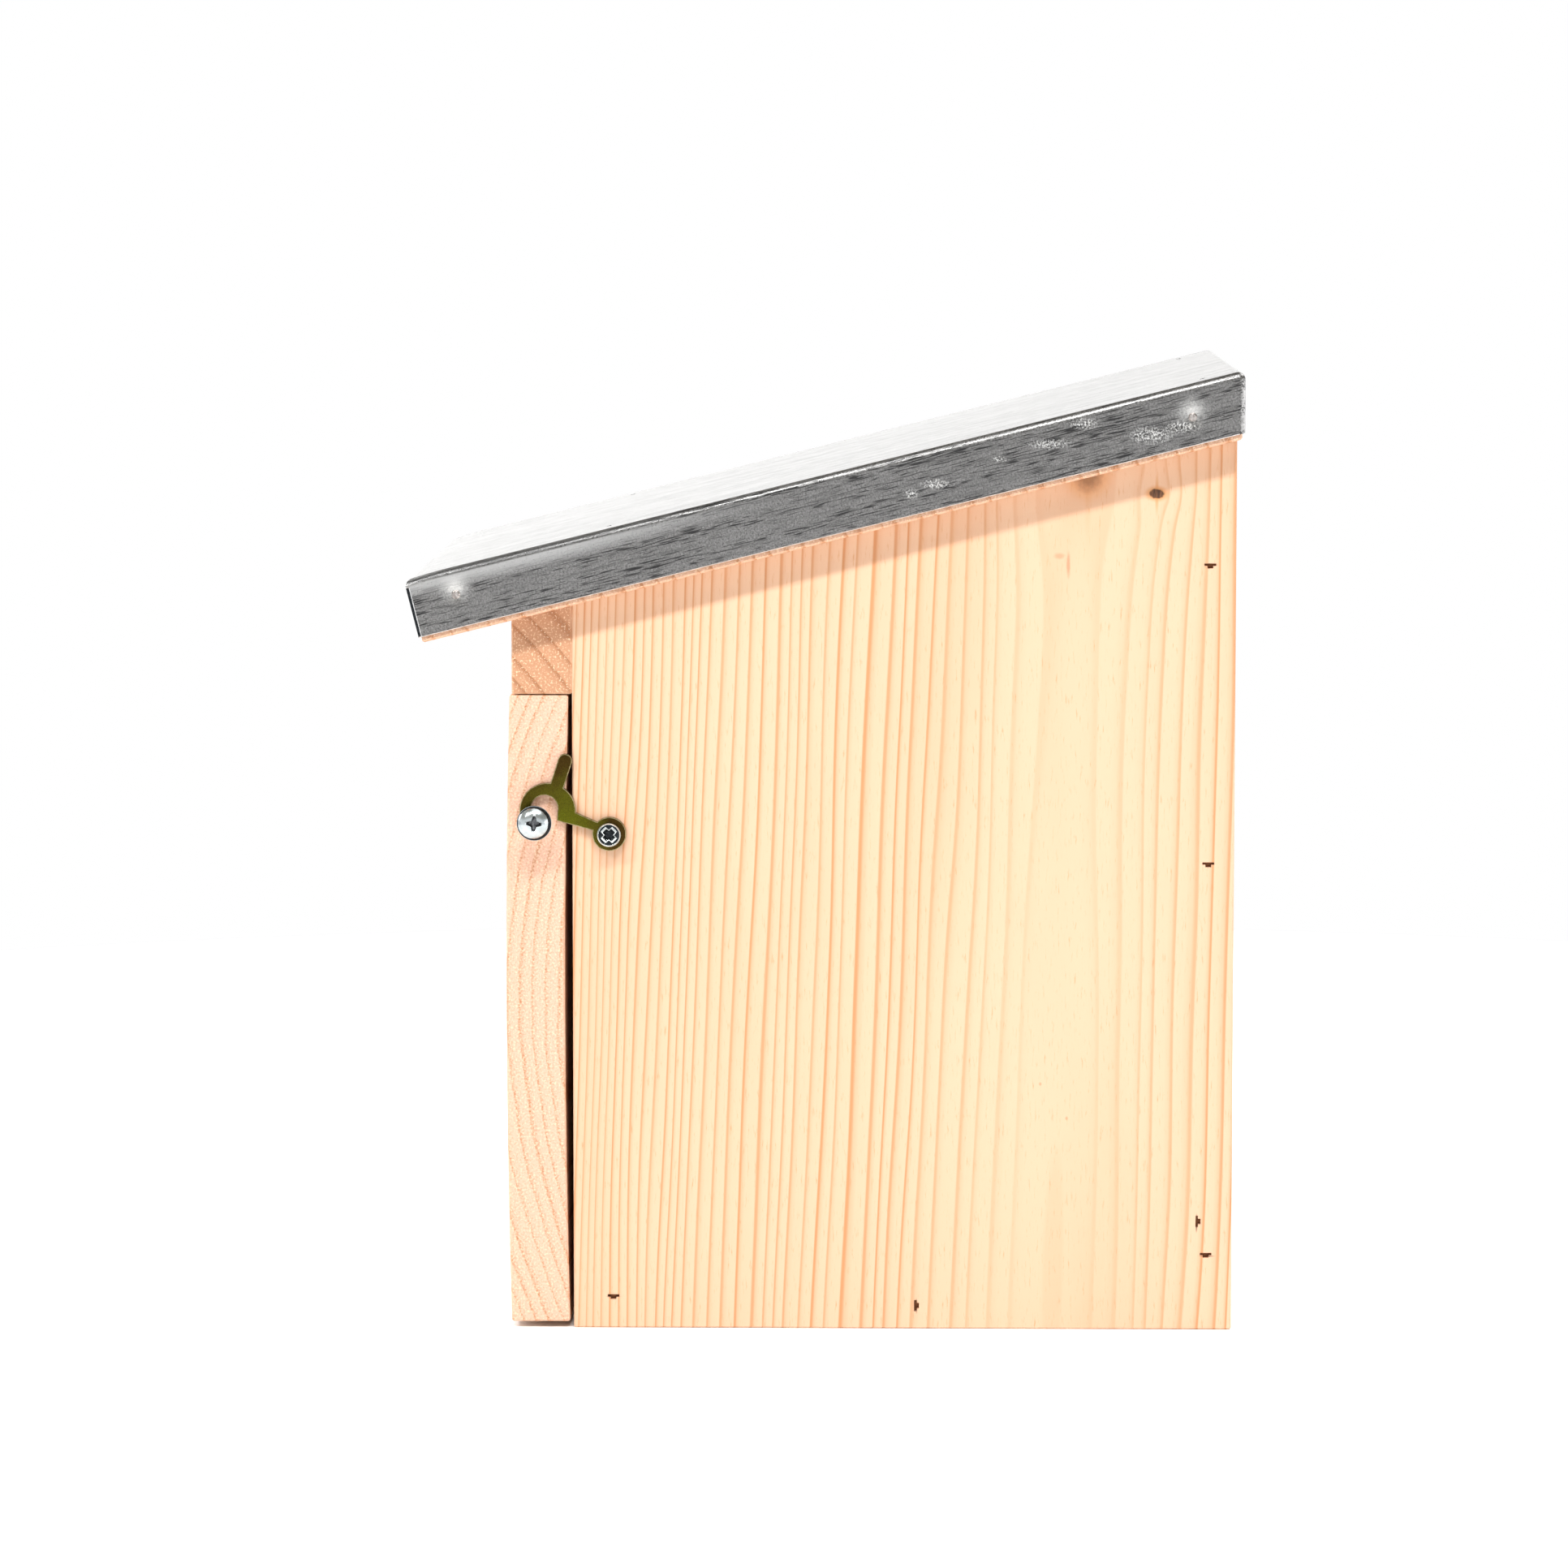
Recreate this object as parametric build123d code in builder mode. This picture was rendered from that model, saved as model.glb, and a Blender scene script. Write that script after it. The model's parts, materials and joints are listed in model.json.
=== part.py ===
from build123d import *
import os
from math import cos, radians, sin, tan

# Nest box with a sloping zinc-covered roof, a side-hung front door and a hook latch.
# Sizes are in millimetres. +Z is up, the door faces -Y and the latch is on the +X side.
# The origin is the middle of the base, on the plane that the box stands on.

# Boards of the box
side_thickness = 15.0
back_thickness = 15.0
floor_thickness = 15.0
rail_thickness = 15.4
door_thickness = 15.0
inner_width = 120.0
depth = 169.2
back_height = 229.2
pitch = 14.0
board_ease = 0.4

# Hole in the back panel for a wall screw or a tie
hang_radius = 3.5
hang_drop = 25.0

# Rail over the door, measured on its inner face, and the door below it
rail_height = 23.0
door_top_gap = 0.35
door_bottom_gap = 1.6
door_back_gap = 1.0
door_cup = 1.1
entrance_radius = 16.0
entrance_drop = 47.0

# Roof board: its front end is square to the slope and its back end is plumb
roof_thickness = 16.1
roof_side_overhang = 6.25
roof_front_overhang = 38.7
roof_back_overhang = 1.0

# Folded zinc sheet over the roof board
sheet = 0.7
sheet_gap = 0.05
edge_radius = 1.2
flap_depth = 15.4
corner_slit = 0.4
tab_length = 18.0

# Clearance round every fastener in its hole, and the number of flats on the small round ones
fastener_gap = 0.05
fastener_sides = 12
cut_margin = 1.0

# Brads with T-shaped heads: in the boards, driven below the surface, and through the roof
brad_wire_width = 1.4
brad_wire_depth = 1.2
brad_head_length = 2.9
brad_bar_depth = 0.55
brad_head_thickness = 0.6
board_brad_length = 32.0
board_brad_set = 1.5
back_brad_inset = 6.6
low_brad_inset = 8.6
upper_brad_drop = 32.2
middle_brad_drop = 108.7
low_brad_height = 28.2
lowest_brad_height = 19.4
front_brad_height = 8.1
front_brad_inset = 10.2
floor_brad_height = 6.0
floor_brad_inset = 88.3
rail_brad_heights = [7.0, 15.0]
top_nail_length = 32.0
top_nail_set = 0.1
top_nail_side_inset = 5.0
top_nail_back_inset = 10.0
top_nail_front_inset = 14.0

# Round nails in the side flaps of the zinc
nail_radius = 0.7
nail_head_radius = 1.3
nail_head_height = 0.5
nail_head_taper = 45.0
flap_nail_length = 16.0
flap_nail_front_inset = 11.2
flap_nail_front_drop = 7.0
flap_nail_back_inset = 13.0
flap_nail_back_drop = 8.3

# Stamped hook, laid out from its pivot: first number towards the back, second number up
pivot_inset = 9.5
pivot_drop = 35.4
hook_thickness = 1.5
hook_gap = 0.2
eye_radius = 4.35
ring_center = (-15.75, 5.9)
ring_radius = 7.2
notch_center = (-16.55, 6.55)
notch_radius = 3.4
heel = (-13.4, 3.4)
arm_low = (-4.1, 0.9)
arm_high = (-2.9, 3.0)
arm_ring = (-8.75, 5.6)
thumb_base = (-13.6, 11.5)
thumb_tip = (-11.25, 18.75)
thumb_width = 3.6

# Pan head screw that the hook turns on
pivot_shank_radius = 1.5
pivot_running_gap = 0.06
pivot_head_radius = 3.0
pivot_head_height = 2.3
pivot_recess = 3.9
pivot_recess_turn = 45.0
pivot_wood_depth = 11.0

# Keeper: a larger screw in the door's end, left standing out for the hook
keeper_reach = 18.9
keeper_rise = 3.3
keeper_shank_radius = 1.5
keeper_seat_gap = 0.1
keeper_stand = 6.2
keeper_head_radius = 4.45
keeper_head_height = 2.9
keeper_recess = 3.8
keeper_recess_turn = 0.0
keeper_wood_depth = 20.0
finger_tip_drop = 1.3

# Pan heads: a flat crown, a shoulder and a rim, with a cross recess
crown_share = 0.5
shoulder_share = 0.85
shoulder_height_share = 0.75
rim_height_share = 0.33
recess_arm = 0.6
recess_depth_share = 0.6

# Butt hinges on the far side, with three knuckles each
hinge_height = 30.0
hinge_margin = 30.0
leaf_width = 11.0
leaf_thickness = 1.0
barrel_radius = 2.0
barrel_stand = 0.2
pin_radius = 1.0
pin_running_gap = 0.05
pin_head = 0.8
knuckle_gap = 0.25
leaf_relief = 0.3
hinge_screw_radius = 1.3
hinge_screw_length = 11.0
hinge_screw_inset = 6.8
hinge_screw_margin = 5.5

# Places worked out from the sizes above
outer_width = inner_width + 2 * side_thickness
front_y = -depth / 2
back_y = depth / 2
slope_sin = sin(radians(pitch))
slope_cos = cos(radians(pitch))
slope_normal = (0, -slope_sin, slope_cos)


def underside(y):
    """Height of the roof board's underside, which the walls are cut to."""
    return back_height - (back_y - y) * tan(radians(pitch))


def slope_point(along, above):
    """Y and Z of a point along the slope from the panels' front edge, above the underside."""
    y = front_y + along * slope_cos - above * slope_sin
    z = underside(front_y) + along * slope_sin + above * slope_cos
    return (y, z)


def plumb_end(end_y, above):
    """Distance along the slope at which the level given meets an upright plane at end_y."""
    return (end_y - front_y + above * slope_sin) / slope_cos


rail_front_y = front_y - rail_thickness
rail_bottom = underside(front_y) - rail_height
door_top = rail_bottom - door_top_gap
door_bottom = door_bottom_gap
door_middle = (door_top + door_bottom) / 2
door_back_y = front_y - door_back_gap
door_front_y = door_back_y - door_thickness
pivot_y = front_y + pivot_inset
pivot_z = door_top - pivot_drop
keeper_y = pivot_y - keeper_reach
keeper_z = pivot_z + keeper_rise
sheet_grow = sheet_gap + sheet
board_half = outer_width / 2 + roof_side_overhang
roof_front = -roof_front_overhang
roof_back_y = back_y + roof_back_overhang
roof_top = roof_thickness + sheet_grow
flap_low = roof_top - flap_depth
hinge_y = front_y - door_back_gap / 2
hinge_x = -outer_width / 2 - barrel_stand - barrel_radius
knuckle_length = (hinge_height - 2 * knuckle_gap) / 3
hinge_screw_cone = leaf_thickness - 2 * fastener_gap
hinge_screw_head_radius = hinge_screw_radius + hinge_screw_cone
hinge_bases = {"upper": door_top - hinge_margin - hinge_height, "lower": door_bottom + hinge_margin}


def side_plane(side, y, z, turn=0.0):
    """Plane on a side panel's outer face, facing out, turned in its own plane."""
    across = (0, side * cos(radians(turn)), side * sin(radians(turn)))
    return Plane(origin=(side * outer_width / 2, y, z), x_dir=across, z_dir=(side, 0, 0))


def side_brad_planes(side):
    """Brads through a side panel: four into the back panel and two into the floor."""
    upper = side_plane(side, back_y - back_brad_inset, back_height - upper_brad_drop)
    middle = side_plane(side, back_y - back_brad_inset, back_height - middle_brad_drop)
    low = side_plane(side, back_y - low_brad_inset, low_brad_height, turn=90)
    lowest = side_plane(side, back_y - back_brad_inset, lowest_brad_height)
    floor_front = side_plane(side, front_y + front_brad_inset, front_brad_height)
    floor_middle = side_plane(side, front_y + floor_brad_inset, floor_brad_height, turn=90)
    return [upper, middle, low, lowest, floor_front, floor_middle]


def rail_brad_planes():
    """Brads through the rail into the front edge of each side panel."""
    planes = []
    for side in (1, -1):
        for height in rail_brad_heights:
            place = (side * (outer_width - side_thickness) / 2, rail_front_y, rail_bottom + height)
            planes.append(Plane(origin=place, x_dir=(1, 0, 0), z_dir=(0, -1, 0)))
    return planes


def flap_nail_planes():
    """Nails through the side flaps, one near each end of the roof."""
    front_level = roof_top - flap_nail_front_drop
    back_level = roof_top - flap_nail_back_drop
    front_place = slope_point(roof_front + flap_nail_front_inset, front_level)
    back_place = slope_point(plumb_end(roof_back_y, back_level) - flap_nail_back_inset, back_level)
    planes = []
    for side in (1, -1):
        for y, z in (front_place, back_place):
            planes.append(Plane(origin=(side * (board_half + sheet_grow), y, z), z_dir=(side, 0, 0)))
    return planes


def top_nail_planes():
    """Nails through the roof into the top edge of each side panel, square to the slope."""
    places = [top_nail_front_inset, plumb_end(roof_back_y, roof_top) - top_nail_back_inset]
    planes = []
    for side in (1, -1):
        for along in places:
            y, z = slope_point(along, roof_top)
            x = side * (outer_width / 2 - top_nail_side_inset)
            planes.append(Plane(origin=(x, y, z), x_dir=(1, 0, 0), z_dir=slope_normal))
    return planes


def hinge_screw_planes(toward):
    """Hinge screws of both hinges, in the leaves on one side of the barrels."""
    planes = []
    for base in hinge_bases.values():
        for height in (hinge_screw_margin, hinge_height - hinge_screw_margin):
            place = (-outer_width / 2 - leaf_thickness, hinge_y + toward * hinge_screw_inset, base + height)
            planes.append(Plane(origin=place, z_dir=(-1, 0, 0)))
    return planes


def draw_brad_head(room):
    """T-shaped outline of a brad's head: the end of its wire, with a bar across the upper side."""
    Rectangle(brad_wire_width + 2 * room, brad_wire_depth + 2 * room)
    with Locations((0, (brad_wire_depth - brad_bar_depth) / 2)):
        Rectangle(brad_head_length + 2 * room, brad_bar_depth + 2 * room)


def make_brad(length, below, top, room):
    """T-headed brad along Z, its head below the surface at the origin, grown by the room given."""
    with BuildPart() as brad:
        with BuildSketch(Plane.XY.offset(top)):
            draw_brad_head(room)
        extrude(amount=-(top + below + brad_head_thickness + room))
        with BuildSketch(Plane.XY.offset(top)):
            Rectangle(brad_wire_width + 2 * room, brad_wire_depth + 2 * room)
        extrude(amount=-(top + length + room))
    return brad.part


def make_pin(radius, top, length):
    """Pin with flats along Z, from the height given down to its length below the origin."""
    with BuildPart() as pin:
        with BuildSketch(Plane.XY.offset(top)):
            RegularPolygon(radius, fastener_sides)
        extrude(amount=-(top + length))
    return pin.part


def make_nail():
    """Nail along Z: underside of its head at the origin."""
    with BuildPart() as nail:
        with BuildSketch(Plane.XY):
            RegularPolygon(nail_head_radius, fastener_sides)
        extrude(amount=nail_head_height, taper=nail_head_taper)
        add(make_pin(nail_radius, 0, flap_nail_length))
    return nail.part


def make_hinge_screw(room):
    """Countersunk screw along Z: top of its head at the origin, grown by the room given."""
    with BuildPart() as screw:
        with BuildSketch(Plane.XY):
            RegularPolygon(hinge_screw_head_radius + room, fastener_sides)
        extrude(amount=-hinge_screw_cone, taper=45)
        add(make_pin(hinge_screw_radius + room, 0, hinge_screw_length + room))
    return screw.part


board_brad = make_brad(board_brad_length, board_brad_set, -board_brad_set, 0)
board_brad_room = make_brad(board_brad_length, board_brad_set, cut_margin, fastener_gap)
top_nail = make_brad(top_nail_length, top_nail_set, -top_nail_set, 0)
top_nail_room = make_brad(top_nail_length, top_nail_set, cut_margin, fastener_gap)
flap_nail = make_nail()
flap_nail_room = make_pin(nail_radius + fastener_gap, cut_margin, flap_nail_length + fastener_gap)
hinge_screw = make_hinge_screw(0)
hinge_screw_room = make_hinge_screw(fastener_gap)


def sink(planes, fastener_room):
    """Cuts the room that a fastener needs from each plane inwards."""
    with Locations(*planes):
        add(fastener_room, mode=Mode.SUBTRACT)


def drill(plane, radius, length):
    """Round hole from a plane inwards, with the fasteners' clearance all round."""
    with Locations(plane):
        Hole(radius=radius + fastener_gap, depth=length + fastener_gap)


def make_side_panel(side):
    """Side panel with a sloping top edge, drilled for its fasteners."""
    with BuildPart() as panel:
        with BuildSketch(Plane.YZ.offset(side * inner_width / 2)):
            with BuildLine():
                Polyline(
                    (front_y, 0),
                    (back_y, 0),
                    (back_y, back_height),
                    (front_y, underside(front_y)),
                    close=True,
                )
            make_face()
        extrude(amount=side * side_thickness)
        chamfer(panel.edges(), length=board_ease)
        sink(side_brad_planes(side) + rail_brad_planes(), board_brad_room)
        sink(top_nail_planes(), top_nail_room)
    return panel.part


with BuildPart() as side_panel_right:
    add(make_side_panel(1))
    drill(side_plane(1, pivot_y, pivot_z), pivot_shank_radius, pivot_wood_depth)

with BuildPart() as side_panel_left:
    add(make_side_panel(-1))
    sink(hinge_screw_planes(1), hinge_screw_room)

# Back panel between the sides, with its top edge cut to the slope
with BuildPart() as back_panel:
    with BuildSketch(Plane.YZ):
        with BuildLine():
            Polyline(
                (back_y - back_thickness, 0),
                (back_y, 0),
                (back_y, back_height),
                (back_y - back_thickness, underside(back_y - back_thickness)),
                close=True,
            )
        make_face()
    extrude(amount=inner_width / 2, both=True)
    chamfer(back_panel.edges(), length=board_ease)
    sink(side_brad_planes(1) + side_brad_planes(-1), board_brad_room)
    with Locations(Plane(origin=(0, back_y, back_height - hang_drop), z_dir=(0, 1, 0))):
        Hole(radius=hang_radius, depth=back_thickness)

# Floor between the sides, in front of the back panel
with BuildPart() as floor_panel:
    floor_depth = depth - back_thickness
    with BuildSketch(Plane.XY):
        with Locations((0, front_y + floor_depth / 2)):
            Rectangle(inner_width, floor_depth)
    extrude(amount=floor_thickness)
    chamfer(floor_panel.edges(), length=board_ease)
    sink(side_brad_planes(1) + side_brad_planes(-1), board_brad_room)

# Fixed rail across the front, under the roof
with BuildPart() as front_rail:
    with BuildSketch(Plane.YZ):
        with BuildLine():
            Polyline(
                (rail_front_y, rail_bottom),
                (front_y, rail_bottom),
                (front_y, underside(front_y)),
                (rail_front_y, underside(rail_front_y)),
                close=True,
            )
        make_face()
    extrude(amount=outer_width / 2, both=True)
    chamfer(front_rail.edges(), length=board_ease)
    sink(rail_brad_planes(), board_brad_room)

# Door: a board cupped across its height, with the entrance hole
with BuildPart() as door_panel:
    with BuildSketch(Plane.YZ):
        with BuildLine():
            ThreePointArc(
                (door_back_y, door_bottom),
                (door_back_y - door_cup, door_middle),
                (door_back_y, door_top),
            )
            Line((door_back_y, door_top), (door_front_y, door_top))
            ThreePointArc(
                (door_front_y, door_top),
                (door_front_y - door_cup, door_middle),
                (door_front_y, door_bottom),
            )
            Line((door_front_y, door_bottom), (door_back_y, door_bottom))
        make_face()
    extrude(amount=outer_width / 2, both=True)
    chamfer(door_panel.edges(), length=board_ease)
    with Locations(Plane(origin=(0, door_front_y, door_top - entrance_drop), z_dir=(0, -1, 0))):
        Hole(radius=entrance_radius)
    drill(side_plane(1, keeper_y, keeper_z), keeper_shank_radius, keeper_wood_depth)
    sink(hinge_screw_planes(-1), hinge_screw_room)


def make_roof_block(grow, low, radius):
    """Block of the roof board's shape, grown at its top and ends, with rounded folds."""
    front = roof_front - grow
    high = roof_thickness + grow
    end_y = roof_back_y + grow
    with BuildPart() as block:
        with BuildSketch(Plane.YZ):
            with BuildLine():
                Polyline(
                    slope_point(front, low),
                    slope_point(front, high),
                    slope_point(plumb_end(end_y, high), high),
                    slope_point(plumb_end(end_y, low), low),
                    close=True,
                )
            make_face()
        extrude(amount=board_half + grow, both=True)
        top_face = block.faces().sort_by(Axis((0, 0, 0), slope_normal))[-1]
        back_corners = block.edges().filter_by(Axis.Z)
        fillet(top_face.edges() + back_corners, radius=radius)
    return block.part


with BuildPart() as roof_board:
    add(make_roof_block(0, 0, edge_radius))
    bottom_face = roof_board.faces().sort_by(Axis((0, 0, 0), slope_normal))[0]
    chamfer(bottom_face.edges(), length=board_ease)
    sink(flap_nail_planes(), flap_nail_room)
    sink(top_nail_planes(), top_nail_room)

# Zinc tray: side flaps are slit at the front corners and wrap round the back corners
with BuildPart() as roof_sheet:
    add(make_roof_block(sheet_grow, flap_low, edge_radius + sheet_grow))
    add(make_roof_block(sheet_gap, -roof_thickness, edge_radius + sheet_gap), mode=Mode.SUBTRACT)
    fold_low = roof_thickness - edge_radius
    for side in (1, -1):
        with BuildSketch(Plane.YZ.offset(side * (board_half + sheet_gap))):
            with BuildLine():
                Polyline(
                    slope_point(roof_front - 2 * sheet_grow, flap_low - sheet),
                    slope_point(roof_front - 2 * sheet_grow, fold_low),
                    slope_point(roof_front, fold_low),
                    slope_point(roof_front, flap_low - sheet),
                    close=True,
                )
            make_face()
        extrude(amount=side * 2 * sheet, mode=Mode.SUBTRACT)
        tab_end = board_half - tab_length
        tab_top = slope_point(plumb_end(roof_back_y, roof_thickness), roof_thickness)[1] - 2 * edge_radius
        with BuildSketch(Plane.XZ.offset(-(roof_back_y + 2 * sheet_grow))):
            with Locations((side * tab_end, tab_top - flap_depth)):
                Rectangle(corner_slit, 2 * flap_depth)
            with Locations((side * (board_half + tab_end - edge_radius) / 2, tab_top - corner_slit / 2)):
                Rectangle(tab_length - edge_radius, corner_slit)
        extrude(amount=2 * sheet_grow, mode=Mode.SUBTRACT)
    sink(flap_nail_planes(), flap_nail_room)
    sink(top_nail_planes(), top_nail_room)


def make_pan_screw(head_radius, head_height, shank_radius, length, recess, turn):
    """Pan head screw along Z: underside of its head at the origin."""
    with BuildPart() as screw:
        with BuildSketch(Plane.XZ):
            with BuildLine():
                Polyline(
                    (0, head_height),
                    (head_radius * crown_share, head_height),
                    (head_radius * shoulder_share, head_height * shoulder_height_share),
                    (head_radius, head_height * rim_height_share),
                    (head_radius, 0),
                    (shank_radius, 0),
                    (shank_radius, -length + 2 * shank_radius),
                    (0, -length),
                    close=True,
                )
            make_face()
        revolve(axis=Axis.Z)
        with BuildSketch(Plane.XY.offset(head_height)):
            Rectangle(recess, 2 * recess_arm, rotation=turn)
            Rectangle(2 * recess_arm, recess, rotation=turn)
        extrude(amount=-head_height * recess_depth_share, mode=Mode.SUBTRACT)
    return screw.part


with BuildPart() as roof_edge_nails:
    with Locations(*flap_nail_planes()):
        add(flap_nail)

with BuildPart() as roof_top_nails:
    with Locations(*top_nail_planes()):
        add(top_nail)

with BuildPart() as side_brads_right:
    with Locations(*side_brad_planes(1)):
        add(board_brad)

with BuildPart() as side_brads_left:
    with Locations(*side_brad_planes(-1)):
        add(board_brad)

with BuildPart() as rail_brads:
    with Locations(*rail_brad_planes()):
        add(board_brad)

# Hook: a flat stamping of an eye, an arm, an open ring and a thumb tab
with BuildPart() as hook_plate:
    finger_inner = -keeper_reach - keeper_shank_radius - keeper_seat_gap
    finger_tip = keeper_rise - finger_tip_drop
    notch_front = (notch_center[0] - notch_radius, notch_center[1])
    notch_back = (notch_center[0] + notch_radius, notch_center[1])
    below = ring_center[1] - ring_radius - hook_thickness
    before = ring_center[0] - ring_radius - hook_thickness
    thumb_middle = ((thumb_base[0] + thumb_tip[0]) / 2, (thumb_base[1] + thumb_tip[1]) / 2)
    hook_face = Plane(
        origin=(outer_width / 2 + hook_gap, pivot_y, pivot_z), x_dir=(0, 1, 0), z_dir=(1, 0, 0)
    )
    with BuildSketch(hook_face):
        with Locations(ring_center):
            Circle(ring_radius)
        with Locations(notch_center):
            Circle(notch_radius, mode=Mode.SUBTRACT)
        with BuildLine():
            Polyline(
                notch_front,
                (finger_inner, keeper_rise + keeper_shank_radius),
                (finger_inner, finger_tip),
                (before, finger_tip),
                (before, below),
                (arm_low[0], below),
                arm_low,
                heel,
                notch_back,
                close=True,
            )
        make_face(mode=Mode.SUBTRACT)
        with BuildLine():
            Polyline(heel, arm_low, arm_high, arm_ring, notch_back, close=True)
        make_face()
        SlotCenterPoint(thumb_middle, thumb_tip, thumb_width)
        Circle(eye_radius)
        Circle(pivot_shank_radius + pivot_running_gap, mode=Mode.SUBTRACT)
    extrude(amount=hook_thickness)

# The pivot screw's head stays clear of the hook, so that the hook turns freely
with BuildPart() as hook_pivot_screw:
    pivot_stand = hook_thickness + 2 * hook_gap
    with Locations(side_plane(1, pivot_y, pivot_z).offset(pivot_stand)):
        add(
            make_pan_screw(
                pivot_head_radius,
                pivot_head_height,
                pivot_shank_radius,
                pivot_stand + pivot_wood_depth,
                pivot_recess,
                pivot_recess_turn,
            )
        )

with BuildPart() as keeper_screw:
    with Locations(side_plane(1, keeper_y, keeper_z).offset(keeper_stand)):
        add(
            make_pan_screw(
                keeper_head_radius,
                keeper_head_height,
                keeper_shank_radius,
                keeper_stand + keeper_wood_depth,
                keeper_recess,
                keeper_recess_turn,
            )
        )


def make_hinge_leaf(base, toward, knuckles):
    """Hinge leaf on the far side: a plate with rolled knuckles round the pin."""
    plate_x = -outer_width / 2 - leaf_thickness / 2
    plate_start = barrel_radius + leaf_relief
    plate_length = leaf_width - plate_start
    with BuildPart() as leaf:
        with BuildSketch(Plane.XY.offset(base)):
            with Locations((plate_x, hinge_y + toward * (plate_start + plate_length / 2))):
                Rectangle(leaf_thickness, plate_length)
        extrude(amount=hinge_height)
        for knuckle in knuckles:
            with BuildSketch(Plane.XY.offset(base + knuckle * (knuckle_length + knuckle_gap))):
                with Locations((hinge_x, hinge_y)):
                    Circle(barrel_radius)
                with Locations((plate_x, hinge_y + toward * leaf_width / 2)):
                    Rectangle(leaf_thickness, leaf_width)
                with Locations((hinge_x, hinge_y)):
                    bore_radius = pin_radius + pin_running_gap
                    RegularPolygon(bore_radius, fastener_sides, major_radius=False, mode=Mode.SUBTRACT)
            extrude(amount=knuckle_length)
        sink(hinge_screw_planes(toward), hinge_screw_room)
    return leaf.part


def make_hinge_pin(base):
    """Hinge pin with a flat head at each end, just clear of the knuckles."""
    with BuildPart() as pin:
        with BuildSketch(Plane.XY.offset(base - knuckle_gap)):
            with Locations((hinge_x, hinge_y)):
                RegularPolygon(pin_radius, fastener_sides)
        extrude(amount=hinge_height + 2 * knuckle_gap)
        for low in (base - knuckle_gap - pin_head, base + hinge_height + knuckle_gap):
            with BuildSketch(Plane.XY.offset(low)):
                with Locations((hinge_x, hinge_y)):
                    RegularPolygon((pin_radius + barrel_radius) / 2, fastener_sides)
            extrude(amount=pin_head)
    return pin.part


with BuildPart() as upper_hinge_frame_leaf:
    add(make_hinge_leaf(hinge_bases["upper"], 1, [0, 2]))

with BuildPart() as upper_hinge_door_leaf:
    add(make_hinge_leaf(hinge_bases["upper"], -1, [1]))

with BuildPart() as upper_hinge_pin:
    add(make_hinge_pin(hinge_bases["upper"]))

with BuildPart() as lower_hinge_frame_leaf:
    add(make_hinge_leaf(hinge_bases["lower"], 1, [0, 2]))

with BuildPart() as lower_hinge_door_leaf:
    add(make_hinge_leaf(hinge_bases["lower"], -1, [1]))

with BuildPart() as lower_hinge_pin:
    add(make_hinge_pin(hinge_bases["lower"]))

with BuildPart() as hinge_frame_screws:
    with Locations(*hinge_screw_planes(1)):
        add(hinge_screw)

with BuildPart() as hinge_door_screws:
    with Locations(*hinge_screw_planes(-1)):
        add(hinge_screw)

pieces = {
    "side_panel_right": side_panel_right,
    "side_panel_left": side_panel_left,
    "back_panel": back_panel,
    "floor_panel": floor_panel,
    "front_rail": front_rail,
    "door_panel": door_panel,
    "roof_board": roof_board,
    "roof_sheet": roof_sheet,
    "roof_edge_nails": roof_edge_nails,
    "roof_top_nails": roof_top_nails,
    "side_brads_right": side_brads_right,
    "side_brads_left": side_brads_left,
    "rail_brads": rail_brads,
    "hook_plate": hook_plate,
    "hook_pivot_screw": hook_pivot_screw,
    "keeper_screw": keeper_screw,
    "upper_hinge_frame_leaf": upper_hinge_frame_leaf,
    "upper_hinge_door_leaf": upper_hinge_door_leaf,
    "upper_hinge_pin": upper_hinge_pin,
    "lower_hinge_frame_leaf": lower_hinge_frame_leaf,
    "lower_hinge_door_leaf": lower_hinge_door_leaf,
    "lower_hinge_pin": lower_hinge_pin,
    "hinge_frame_screws": hinge_frame_screws,
    "hinge_door_screws": hinge_door_screws,
}

os.makedirs("parts", exist_ok=True)
for name, piece in pieces.items():
    piece.part.label = name
    export_step(piece.part, f"parts/{name}.step")
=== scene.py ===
import json
from math import copysign, cos, exp, floor, hypot, pi, radians, sin

import bmesh
import bpy
from mathutils import Matrix, Vector, noise

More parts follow.
